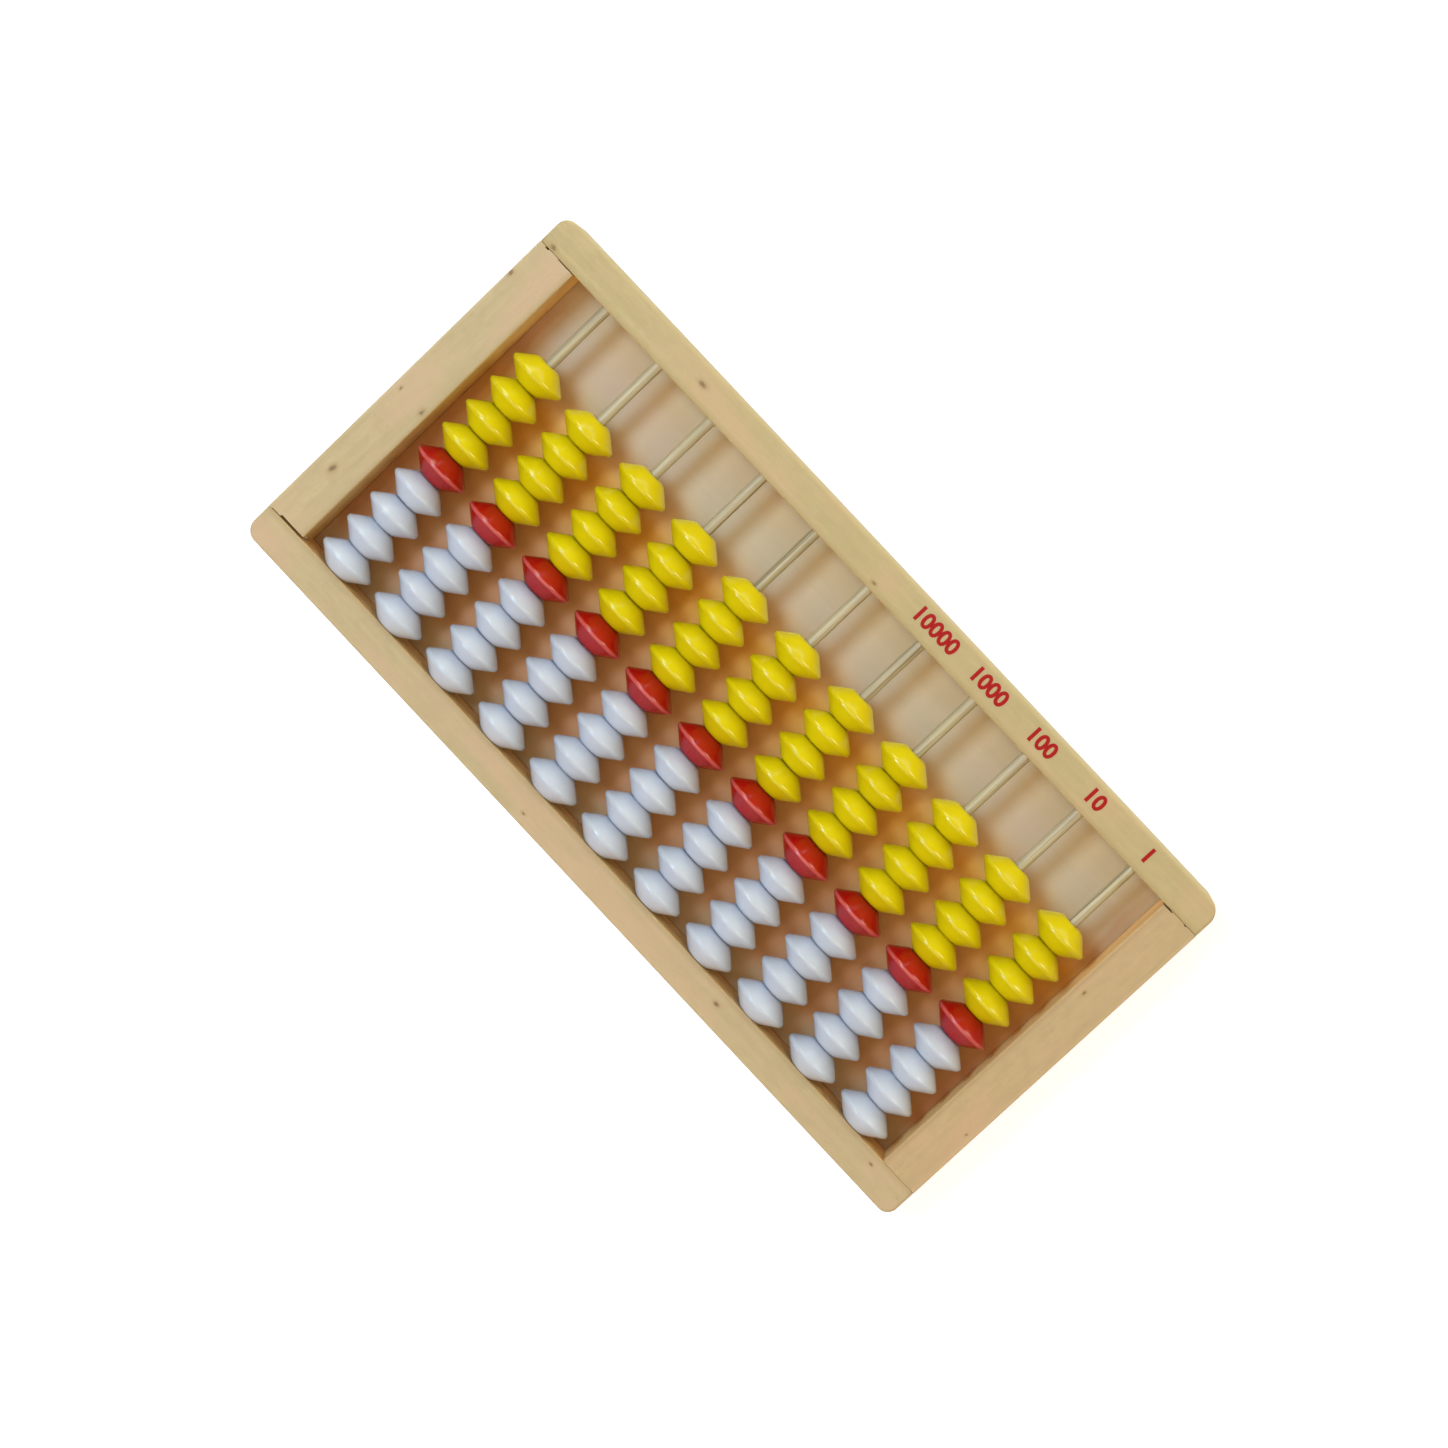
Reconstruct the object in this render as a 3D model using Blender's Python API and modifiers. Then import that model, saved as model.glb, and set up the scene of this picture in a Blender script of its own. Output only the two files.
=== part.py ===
"""Counting abacus: a shallow pine tray with eleven rods and nine lens-shaped beads on each rod.

The frame lies flat. +X runs along its long rails, +Y from the bottom rail to the top rail, +Z up.
The origin is below the centre of the inner opening, on the surface that the frame lies on.
Every moving bead group is turned about its rod's axis and slides along +Y.
"""
import math

import bmesh
import bpy
from mathutils import Vector

MM = 0.001

# Frame, in metres
INNER_LENGTH = 238.6 * MM
INNER_DEPTH = 106.5 * MM
FRAME_HEIGHT = 21.0 * MM
LONG_RAIL_WIDTH = 10.2 * MM
LEFT_RAIL_WIDTH = 13.2 * MM
RIGHT_RAIL_WIDTH = 12.4 * MM
TOP_CORNER_RADII = (3.8 * MM, 5.0 * MM)
BOTTOM_CORNER_RADII = (4.2 * MM, 3.6 * MM)
EDGE_RADIUS = 0.7 * MM
CORNER_SEGMENTS = 5
EDGE_SEGMENTS = 2

# Joinery
JOINT_GAP = 0.2 * MM
TENON_WIDTH = 7.0 * MM
TENON_HEIGHT = 7.0 * MM
TENON_DEPTH = 5.0 * MM
TENON_CENTRE_HEIGHT = 10.5 * MM

# Back panel, held in a groove all round
PANEL_THICKNESS = 3.0 * MM
PANEL_UNDERSIDE = 2.0 * MM
GROOVE_DEPTH = 3.2 * MM

# Columns
COLUMNS = 11
COLUMN_PITCH = 21.3 * MM
ROD_HEIGHT = 16.6 * MM
ROD_RADIUS = 1.6 * MM
ROD_SOCKET_DEPTH = 5.5 * MM
ROD_SOCKET_SPARE = 0.5 * MM
ROD_CHAMFER = 0.3 * MM

# Beads: each is a double cone turned about the rod, with a rounded rim and a flat hub on both sides
BEAD_PITCH = 9.4 * MM
BEAD_RADIUS = 9.1 * MM
BEAD_HUB_RADIUS = 3.9 * MM
BEAD_RIM_ROUNDING = 1.1 * MM
BEAD_BORE_RADIUS = 1.9 * MM
BEAD_GAP = 0.3 * MM
BEAD_SIDES = 16
ROD_SIDES = 12

# One column's bead groups from the bottom rail upwards: name, number of beads, material
BEAD_GROUPS = (
    ("white_beads", 4, "white_plastic"),
    ("red_bead", 1, "red_plastic"),
    ("yellow_beads", 3, "yellow_plastic"),
    ("top_bead", 1, "yellow_plastic"),
)

# Linear colour, roughness, metallic
FINISHES = {
    "rail_wood": ((0.60, 0.45, 0.24), 0.55, 0.0),
    "end_rail_wood": ((0.60, 0.41, 0.20), 0.55, 0.0),
    "panel_wood": ((0.50, 0.34, 0.21), 0.6, 0.0),
    "rod_bamboo": ((0.55, 0.49, 0.28), 0.45, 0.0),
    "white_plastic": ((0.70, 0.73, 0.80), 0.18, 0.0),
    "red_plastic": ((0.45, 0.01, 0.01), 0.15, 0.0),
    "yellow_plastic": ((0.78, 0.62, 0.01), 0.18, 0.0),
}

# Worked out from the driving dimensions
FRAME_LENGTH = LEFT_RAIL_WIDTH + INNER_LENGTH + RIGHT_RAIL_WIDTH
FRAME_CENTRE_X = (RIGHT_RAIL_WIDTH - LEFT_RAIL_WIDTH) / 2
LEFT_CENTRE_X = -(INNER_LENGTH + LEFT_RAIL_WIDTH) / 2
RIGHT_CENTRE_X = (INNER_LENGTH + RIGHT_RAIL_WIDTH) / 2
RAIL_CENTRE_Y = (INNER_DEPTH + LONG_RAIL_WIDTH) / 2
PANEL_CENTRE_HEIGHT = PANEL_UNDERSIDE + PANEL_THICKNESS / 2
GROOVE_HEIGHT = PANEL_THICKNESS + 2 * JOINT_GAP
SOCKET_RADIUS = ROD_RADIUS + JOINT_GAP
RIM_CENTRE = BEAD_RADIUS - BEAD_RIM_ROUNDING
FLANK_TURN = math.atan2(BEAD_PITCH / 2, BEAD_HUB_RADIUS - RIM_CENTRE) - math.acos(
    BEAD_RIM_ROUNDING / math.hypot(BEAD_PITCH / 2, BEAD_HUB_RADIUS - RIM_CENTRE)
)
SMOOTH_ANGLE = math.radians(35)


def clear_scene():
    """Start from an empty scene."""
    for obj in list(bpy.data.objects):
        bpy.data.objects.remove(obj, do_unlink=True)


def new_collection(name):
    """Add a collection to the scene."""
    collection = bpy.data.collections.new(name)
    bpy.context.scene.collection.children.link(collection)
    return collection


def make_materials():
    """Build one Principled material for each finish."""
    materials = {}
    for name, (colour, roughness, metallic) in FINISHES.items():
        material = bpy.data.materials.new(name)
        material.use_nodes = True
        shader = material.node_tree.nodes["Principled BSDF"]
        shader.inputs["Base Color"].default_value = (*colour, 1.0)
        shader.inputs["Roughness"].default_value = roughness
        shader.inputs["Metallic"].default_value = metallic
        materials[name] = material
    return materials


def add_object(name, mesh, location, collection):
    """Place a mesh as an object in a collection."""
    obj = bpy.data.objects.new(name, mesh)
    obj.location = location
    collection.objects.link(obj)
    return obj


def add_box(bm, size, centre=(0, 0, 0)):
    """Add a box to a bmesh and return its vertices."""
    verts = bmesh.ops.create_cube(bm, size=1.0)["verts"]
    bmesh.ops.scale(bm, vec=size, verts=verts)
    bmesh.ops.translate(bm, vec=centre, verts=verts)
    return verts


def add_rod_cylinder(bm, radius, length, centre=(0, 0, 0)):
    """Add a closed cylinder along Y to a bmesh."""
    verts = bmesh.ops.create_cone(
        bm,
        cap_ends=True,
        segments=ROD_SIDES,
        radius1=radius,
        radius2=radius,
        depth=length,
    )["verts"]
    quarter_turn = Vector((0, 0, 1)).rotation_difference(Vector((0, 1, 0))).to_matrix()
    bmesh.ops.rotate(bm, cent=(0, 0, 0), matrix=quarter_turn, verts=verts)
    bmesh.ops.translate(bm, vec=centre, verts=verts)


def finish_mesh(bm, name, material=None):
    """Turn a bmesh into a mesh, with its material."""
    mesh = bpy.data.meshes.new(name)
    bm.to_mesh(mesh)
    bm.free()
    if material:
        mesh.materials.append(material)
    return mesh


def add_cutter(name, bm, location, cutters):
    """Make a hidden operand for a Boolean."""
    cutter = add_object(name, finish_mesh(bm, name), location, cutters)
    cutter.display_type = "WIRE"
    cutter.hide_render = True
    return cutter


def add_bevel(obj, width, segments):
    """Round an object's sharp edges."""
    bevel = obj.modifiers.new("rounded_edges", "BEVEL")
    bevel.width = width
    bevel.segments = segments
    bevel.limit_method = "ANGLE"
    bevel.angle_limit = math.radians(60)


def add_boolean(obj, operand, operation):
    """Cut or join an object with an operand."""
    boolean = obj.modifiers.new(operand.name, "BOOLEAN")
    boolean.object = operand
    boolean.operation = operation
    boolean.solver = "EXACT"


def column_x(index):
    """Place of a column's rod along the frame, counted from the left end."""
    return (index - (COLUMNS - 1) / 2) * COLUMN_PITCH


def long_rail(name, side, corner_radii, material, parts, cutters):
    """Make a long rail: side is 1 for the top rail and -1 for the bottom rail.

    Its two outer corners, left and right, are rounded in plan. Its inner face has a blind socket
    for each rod, a mortise for each end rail and a groove for the back panel.
    """
    bm = bmesh.new()
    add_box(bm, (FRAME_LENGTH, LONG_RAIL_WIDTH, FRAME_HEIGHT))
    for end, radius in zip((-1, 1), corner_radii):
        corner = [
            edge for edge in bm.edges
            if all(vert.co.y * side > 0 and vert.co.x * end > 0 for vert in edge.verts)
            and abs(edge.verts[0].co.z - edge.verts[1].co.z) > FRAME_HEIGHT / 2
        ]
        bmesh.ops.bevel(
            bm,
            geom=corner,
            offset=radius,
            segments=CORNER_SEGMENTS,
            profile=0.5,
            affect="EDGES",
        )
    centre = Vector((FRAME_CENTRE_X, side * RAIL_CENTRE_Y, FRAME_HEIGHT / 2))
    rail = add_object(name, finish_mesh(bm, name, material), centre, parts)
    add_bevel(rail, EDGE_RADIUS, EDGE_SEGMENTS)

    cuts = bmesh.new()
    inner_face = -side * LONG_RAIL_WIDTH / 2
    groove_length = INNER_LENGTH + 2 * GROOVE_DEPTH
    add_box(
        cuts,
        (groove_length, 2 * GROOVE_DEPTH, GROOVE_HEIGHT),
        (0, inner_face, PANEL_CENTRE_HEIGHT - centre.z),
    )
    mortise_size = (
        TENON_WIDTH + 2 * JOINT_GAP,
        2 * (TENON_DEPTH + JOINT_GAP),
        TENON_HEIGHT + 2 * JOINT_GAP,
    )
    for end_x in (LEFT_CENTRE_X, RIGHT_CENTRE_X):
        add_box(cuts, mortise_size, (end_x, inner_face, TENON_CENTRE_HEIGHT - centre.z))
    socket_length = 2 * (ROD_SOCKET_DEPTH + ROD_SOCKET_SPARE)
    for index in range(COLUMNS):
        add_rod_cylinder(
            cuts,
            SOCKET_RADIUS,
            socket_length,
            (column_x(index), inner_face, ROD_HEIGHT - centre.z),
        )
    cuts_place = Vector((0, centre.y, centre.z))
    add_boolean(rail, add_cutter(name + "_cuts", cuts, cuts_place, cutters), "DIFFERENCE")
    return rail


def end_rail(name, centre_x, width, material, parts, cutters):
    """Make an end rail between the long rails.

    A tenon stands out of each end, and the inner face has a groove for the back panel.
    """
    side = math.copysign(1, centre_x)
    shoulder_length = INNER_DEPTH - 2 * JOINT_GAP
    centre = Vector((centre_x, 0, FRAME_HEIGHT / 2))
    bm = bmesh.new()
    add_box(bm, (width, shoulder_length, FRAME_HEIGHT))
    rail = add_object(name, finish_mesh(bm, name, material), centre, parts)
    add_bevel(rail, EDGE_RADIUS, EDGE_SEGMENTS)

    bar = bmesh.new()
    bar_length = INNER_DEPTH + 2 * TENON_DEPTH
    add_box(bar, (TENON_WIDTH, bar_length, TENON_HEIGHT), (0, 0, TENON_CENTRE_HEIGHT - centre.z))
    add_boolean(rail, add_cutter(name + "_tenons", bar, centre, cutters), "UNION")

    groove = bmesh.new()
    overrun = 2 * EDGE_RADIUS
    add_box(
        groove,
        (2 * GROOVE_DEPTH, INNER_DEPTH + overrun, GROOVE_HEIGHT),
        (-side * width / 2, 0, PANEL_CENTRE_HEIGHT - centre.z),
    )
    add_boolean(rail, add_cutter(name + "_groove", groove, centre, cutters), "DIFFERENCE")
    return rail


def back_panel(material, parts):
    """Make the thin board that closes the tray, a little smaller than its grooves."""
    reach = 2 * (GROOVE_DEPTH - JOINT_GAP)
    bm = bmesh.new()
    add_box(bm, (INNER_LENGTH + reach, INNER_DEPTH + reach, PANEL_THICKNESS))
    mesh = finish_mesh(bm, "back_panel", material)
    return add_object("back_panel", mesh, (0, 0, PANEL_CENTRE_HEIGHT), parts)


def rods(material, parts):
    """Make the rods, each held in a socket at both ends."""
    bm = bmesh.new()
    add_rod_cylinder(bm, ROD_RADIUS, INNER_DEPTH + 2 * ROD_SOCKET_DEPTH)
    mesh = finish_mesh(bm, "rod", material)
    mesh.shade_smooth()
    mesh.set_sharp_from_angle(angle=SMOOTH_ANGLE)
    for index in range(COLUMNS):
        rod = add_object(f"rod_{index + 1:02d}", mesh, (column_x(index), 0, ROD_HEIGHT), parts)
        add_bevel(rod, ROD_CHAMFER, 1)


def rim_point(turn, middle):
    """Point of a rounded rim as (radius, height), at an angle above the bead's middle plane."""
    radius = RIM_CENTRE + BEAD_RIM_ROUNDING * math.cos(turn)
    return radius, middle + BEAD_RIM_ROUNDING * math.sin(turn)


def bead_profile(count):
    """Closed outline of a stack of beads, as (radius, height) from the stack's lower end.

    It runs down the outer side and up the bore, so that the turned solid faces outwards. The
    flanks are straight, and meet the rounded rims at FLANK_TURN.
    """
    low, high = BEAD_GAP / 2, count * BEAD_PITCH - BEAD_GAP / 2
    outer = [(BEAD_HUB_RADIUS, high)]
    for bead in reversed(range(count)):
        middle = (bead + 0.5) * BEAD_PITCH
        outer += [rim_point(turn, middle) for turn in (FLANK_TURN, 0.0, -FLANK_TURN)]
        outer.append((BEAD_HUB_RADIUS, max(bead * BEAD_PITCH, low)))
    return outer + [(BEAD_BORE_RADIUS, low), (BEAD_BORE_RADIUS, high)]


def bead_mesh(name, count, material):
    """Make the outline of a stack of beads, ready to be turned about its own Z axis."""
    bm = bmesh.new()
    verts = [bm.verts.new((radius, 0, height)) for radius, height in bead_profile(count)]
    for start, end in zip(verts, verts[1:] + verts[:1]):
        bm.edges.new((start, end))
    return finish_mesh(bm, name, material)


def turn(obj):
    """Turn an outline about its object's Z axis."""
    screw = obj.modifiers.new("turned", "SCREW")
    screw.axis = "Z"
    screw.angle = math.tau
    screw.steps = BEAD_SIDES
    screw.render_steps = BEAD_SIDES
    screw.merge_threshold = 0.0001
    screw.use_merge_vertices = False
    screw.use_smooth_shade = True


def beads(materials, parts):
    """Thread every column's bead groups on its rod, all pushed against the bottom rail."""
    meshes = {name: bead_mesh(name, count, materials[finish]) for name, count, finish in BEAD_GROUPS}
    along_rod = Vector((0, 0, 1)).rotation_difference(Vector((0, 1, 0))).to_euler()
    for index in range(COLUMNS):
        start_y = -INNER_DEPTH / 2
        for name, count, _ in BEAD_GROUPS:
            group = add_object(
                f"column_{index + 1:02d}_{name}",
                meshes[name],
                (column_x(index), start_y, ROD_HEIGHT),
                parts,
            )
            group.rotation_euler = along_rod
            turn(group)
            start_y += count * BEAD_PITCH


def main():
    clear_scene()
    parts = new_collection("abacus")
    cutters = new_collection("abacus_cutters")
    materials = make_materials()
    pale, warm = materials["rail_wood"], materials["end_rail_wood"]
    long_rail("top_rail", 1, TOP_CORNER_RADII, pale, parts, cutters)
    long_rail("bottom_rail", -1, BOTTOM_CORNER_RADII, pale, parts, cutters)
    end_rail("left_end_rail", LEFT_CENTRE_X, LEFT_RAIL_WIDTH, pale, parts, cutters)
    end_rail("right_end_rail", RIGHT_CENTRE_X, RIGHT_RAIL_WIDTH, warm, parts, cutters)
    back_panel(materials["panel_wood"], parts)
    rods(materials["rod_bamboo"], parts)
    beads(materials, parts)


main()
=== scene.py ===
"""Finished look of the abacus: wood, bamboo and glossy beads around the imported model.

Everything is in metres, in the model's own frame: +X along the long rails, +Y from the bottom rail
to the top rail, +Z up out of the open face.
"""
import math
import random

import bmesh
import bpy
from mathutils import Matrix, Vector


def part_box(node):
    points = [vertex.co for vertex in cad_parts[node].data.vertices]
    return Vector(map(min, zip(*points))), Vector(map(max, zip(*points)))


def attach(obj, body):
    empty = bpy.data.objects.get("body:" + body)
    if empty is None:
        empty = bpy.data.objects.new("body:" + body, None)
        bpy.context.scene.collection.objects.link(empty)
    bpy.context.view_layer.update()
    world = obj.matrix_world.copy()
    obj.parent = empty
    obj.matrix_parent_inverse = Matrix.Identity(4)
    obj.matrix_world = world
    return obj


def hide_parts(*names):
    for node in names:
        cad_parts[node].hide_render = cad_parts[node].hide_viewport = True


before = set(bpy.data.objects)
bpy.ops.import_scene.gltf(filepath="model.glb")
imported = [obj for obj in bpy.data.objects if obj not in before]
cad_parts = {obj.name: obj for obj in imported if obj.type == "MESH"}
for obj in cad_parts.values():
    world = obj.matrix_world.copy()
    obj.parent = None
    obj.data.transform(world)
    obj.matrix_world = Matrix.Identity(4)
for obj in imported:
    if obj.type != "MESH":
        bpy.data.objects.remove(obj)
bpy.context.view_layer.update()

MM = 0.001
COLUMNS = 11

# Bead groups of a column, from the bottom rail upwards: name, beads in it, colour
GROUPS = (
    ("white_beads", 4, "white"),
    ("red_bead", 1, "red"),
    ("yellow_beads", 3, "yellow"),
    ("top_bead", 1, "yellow"),
)
BEADS_ON_ROD = sum(count for _, count, _ in GROUPS)

# Beads. HUB_PLAY comes off each end of a bead, and lets a column be COLUMN_SLACK shorter at most
HUB_RADIUS = 3.9 * MM
BORE_RADIUS = 1.9 * MM
RIM_ROUNDING = 0.9 * MM
HUB_ROUNDING = 3.0 * MM
BORE_ROUNDING = 0.2 * MM
HUB_PLAY = 0.05 * MM
BEAD_SEGMENTS = 64
FILLET_STEPS = 8
LARGEST_TILT = math.radians(1.1)
COLUMN_SLACK = 0.9 * MM

# Rails: radii of the outer corners in plan (left, right), and of the edges
TOP_CORNERS = (3.8 * MM, 5.0 * MM)
BOTTOM_CORNERS = (4.2 * MM, 3.6 * MM)
CORNER_SEGMENTS = 14
EDGE_RADIUS = 0.9 * MM
EDGE_SEGMENTS = 4
INNER_EDGE_SHARE = 0.4
END_RAIL_EDGE_SHARE = 0.55
ROUNDED_ABOVE = math.radians(50)
SHARP_ABOVE = math.radians(40)

# Joints of the frame
MORTISE_HALF = 3.6 * MM
TENON_HALF = 3.5 * MM
TIGHT_JOINT = 0.06 * MM
SOCKET_PLAY = 0.12 * MM
SOCKET_END_GAP = 0.2 * MM
SOCKET_SEGMENTS = 24
CRACK_DEPTH = 6.0 * MM
OVERCUT = 1 * MM

# Small dark flecks in the rails' upper faces: x, y, radius, in each rail's own coordinates
TOP_FLECKS = (
    (-72.0 * MM, 0.2 * MM, 0.8 * MM),
    (0.5 * MM, -3.0 * MM, 0.5 * MM),
    (-128.0 * MM, -4.0 * MM, 0.7 * MM),
)
BOTTOM_FLECKS = (
    (56.0 * MM, 1.0 * MM, 0.6 * MM),
    (118.0 * MM, 2.0 * MM, 0.4 * MM),
    (-20.0 * MM, -2.0 * MM, 0.4 * MM),
)
LEFT_FLECKS = (
    (-5.8 * MM, 41.0 * MM, 0.6 * MM),
    (-1.5 * MM, -33.0 * MM, 0.8 * MM),
    (4.8 * MM, -4.0 * MM, 0.7 * MM),
    (-4.2 * MM, -3.5 * MM, 0.4 * MM),
)
RIGHT_FLECKS = (
    (-3.0 * MM, 20.0 * MM, 0.4 * MM),
    (4.0 * MM, -31.0 * MM, 0.3 * MM),
)

# Open joints at the end rails' shoulders: bottom (-1) or top (1), from x, to x, opening
LEFT_CRACKS = (
    (-1, -2.2 * MM, 8 * MM, 0.75 * MM),
    (-1, -5.2 * MM, -2.2 * MM, 0.18 * MM),
    (1, 0.6 * MM, 8 * MM, 0.22 * MM),
    (1, -4.3 * MM, -3.0 * MM, 0.4 * MM),
)
RIGHT_CRACKS = (
    (1, -8 * MM, -3.0 * MM, 0.42 * MM),
    (1, 1.6 * MM, 2.4 * MM, 0.3 * MM),
)

# Rods: meshing, then the ranges in which they differ from each other
ROD_SEGMENTS = 28
ROD_RINGS = 60
ROD_SHARP_ABOVE = math.radians(50)
ROD_GIRTH = (0.98, 1.07)
ROD_OVALNESS = (0.93, 1.0)
ROD_TONE = (0.92, 1.06)
LARGEST_BOW = 0.12 * MM

# Printed place values, from the seventh column to the last. The font's digits are
# DIGIT_HEIGHT_IN_FONT high at size 1
PLACE_VALUES = ("10000", "1000", "100", "10", "1")
DIGIT_HEIGHT = 4.5 * MM
DIGIT_HEIGHT_IN_FONT = 0.7
STROKE_GAIN = 0.24 * MM
DIGITS_OFF_CENTRE = 0.4 * MM
INK_THICKNESS = 0.03 * MM

# Colours of the wood. The face inside the tray is its rail's colour times a tint: painted warm
# bounce light and shade, different for each wall
RAIL_COLOUR = (0.425, 0.335, 0.18)
WARM_RAIL_COLOUR = (0.423, 0.309, 0.158)
YELLOWER_RAIL_COLOUR = (0.416, 0.331, 0.16)
LONG_TRAY_LIGHT = (2.35, 1.85, 1.35)
LEFT_TRAY_LIGHT = (1.95, 1.58, 1.08)
RIGHT_TRAY_LIGHT = (2.35, 2.0, 1.55)

# Colours of the panel. The first amber is painted shadow under and beside the beads, the pale one
# painted light on their lit side; each is a pair, low down on the panel and higher up
PANEL_COLOUR = (0.488, 0.406, 0.268)
SHADOW_AMBER = ((0.44, 0.195, 0.055), (0.62, 0.252, 0.001))
LIT_AMBER = ((0.60, 0.28, 0.12), (0.81, 0.405, 0.05))
# Painted shade in the panel's corners along the end rails
CORNER_SHADE_COLOUR = (0.38, 0.125, 0.02)

# Colours of the rods and the ink
BAMBOO_COLOUR = (0.385, 0.328, 0.205)
DARK_FIBRE = (0.16, 0.12, 0.045)
INK_COLOUR = (0.30, 0.001, 0.002)
THIN_INK_COLOUR = (0.36, 0.03, 0.02)

# Plastic of the beads: its colour, grime, lighter flow marks, painted highlight and shade on the
# rim, and its scatter
BEAD_COLOURS = {
    "white": {
        "colour": (0.475, 0.52, 0.61),
        "dark": (0.40, 0.43, 0.49),
        "light": (0.50, 0.545, 0.63),
        "rim": (0.41, 0.455, 0.525),
        "scatter": 0.3,
    },
    "red": {
        "colour": (0.31, 0.001, 0.003),
        "dark": (0.22, 0.001, 0.002),
        "light": (0.34, 0.002, 0.004),
        "rim": (0.46, 0.075, 0.07),
    },
    "yellow": {
        "colour": (0.56, 0.46, 0.002),
        "dark": (0.43, 0.32, 0.002),
        "light": (0.60, 0.50, 0.003),
        "rim": (0.53, 0.43, 0.002),
    },
}

# Floor and sky
FLOOR_REACH = 12.0
FLOOR_GAP = 0.05 * MM
FLOOR_GREY = 0.5
FLOOR_GLOW = (0.96, 0.97, 1)
FLOOR_GLOW_STRENGTH = 0.65
HORIZON = (0.32, 0.20, 0.10)
ZENITH = (0.50, 0.36, 0.22)
SKY_CURVE = 1.5

# Area lights, all aimed at the object: name, location, size, power in watts, colour
LIGHTS = (
    ("key", (-0.70, 0.02, 1.32), (0.45, 0.45), 14.0, (0.36, 0.66, 1.0)),
    ("overhead", (0.0, 0.0, 1.5), (2.4, 0.9), 15.2, (1.0, 0.85, 0.63)),
    ("left_window", (-0.72, 1.26, 0.34), (0.5, 0.9), 8.6, (0.96, 1.0, 0.8)),
    ("right_window", (0.72, 1.26, 0.34), (0.5, 0.9), 8.6, (0.96, 1.0, 0.8)),
    ("front", (0.0, -1.1, 1.0), (1.6, 0.8), 5.8, (1.0, 0.98, 0.95)),
)

# Camera: place, the point of the rails' upper face it looks at, and its turn about that line
CAMERA_LOCATION = (0.0184, 0.0897, 0.8526)
AIM_X, AIM_Y = 0.0, -0.0018
CAMERA_TURN = math.radians(46.6)
SENSOR_WIDTH = 36.0
FOCAL_LENGTH = 74.8

rng = random.Random(11)


# ---------------------------------------------------------------- mesh helpers

def link(name, mesh, location):
    """Put a mesh in the scene as an object."""
    obj = bpy.data.objects.new(name, mesh)
    obj.location = location
    bpy.context.scene.collection.objects.link(obj)
    return obj


def add_box(bm, low, high):
    """Add a box between two corners."""
    low, high = Vector(low), Vector(high)
    verts = bmesh.ops.create_cube(bm, size=1.0)["verts"]
    bmesh.ops.scale(bm, vec=high - low, verts=verts)
    bmesh.ops.translate(bm, vec=(low + high) / 2, verts=verts)


def applied(obj):
    """Replace an object's mesh with the result of its modifiers."""
    evaluated = obj.evaluated_get(bpy.context.evaluated_depsgraph_get())
    mesh = bpy.data.meshes.new_from_object(evaluated)
    obj.modifiers.clear()
    obj.data = mesh


def fillet(points, radii, steps):
    """Round the corners of a closed outline, each with its own radius."""
    rounded = []
    for index, (corner, radius) in enumerate(zip(points, radii)):
        corner = Vector(corner)
        before = (Vector(points[index - 1]) - corner).normalized()
        after = (Vector(points[(index + 1) % len(points)]) - corner).normalized()
        half = before.angle(after) / 2
        centre = corner + (before + after).normalized() * radius / math.sin(half)
        reach = radius / math.tan(half)
        start = corner + before * reach - centre
        end = corner + after * reach - centre
        turn = start.angle_signed(end)
        for step in range(steps + 1):
            rounded.append(centre + Matrix.Rotation(-turn * step / steps, 2) @ start)
    return rounded


def turned(name, outline, segments):
    """Turn a closed outline of (radius, height) points about the Y axis."""
    bm = bmesh.new()
    verts = [bm.verts.new((point[0], point[1], 0)) for point in outline]
    edges = [bm.edges.new(pair) for pair in zip(verts, verts[1:] + verts[:1])]
    bmesh.ops.spin(
        bm,
        geom=verts + edges,
        cent=(0, 0, 0),
        axis=(0, 1, 0),
        steps=segments,
        angle=math.tau,
        use_merge=True,
    )
    bmesh.ops.recalc_face_normals(bm, faces=bm.faces)
    mesh = bpy.data.meshes.new(name)
    bm.to_mesh(mesh)
    bm.free()
    mesh.shade_smooth()
    return mesh


# ------------------------------------------------------------ shader helpers

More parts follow.
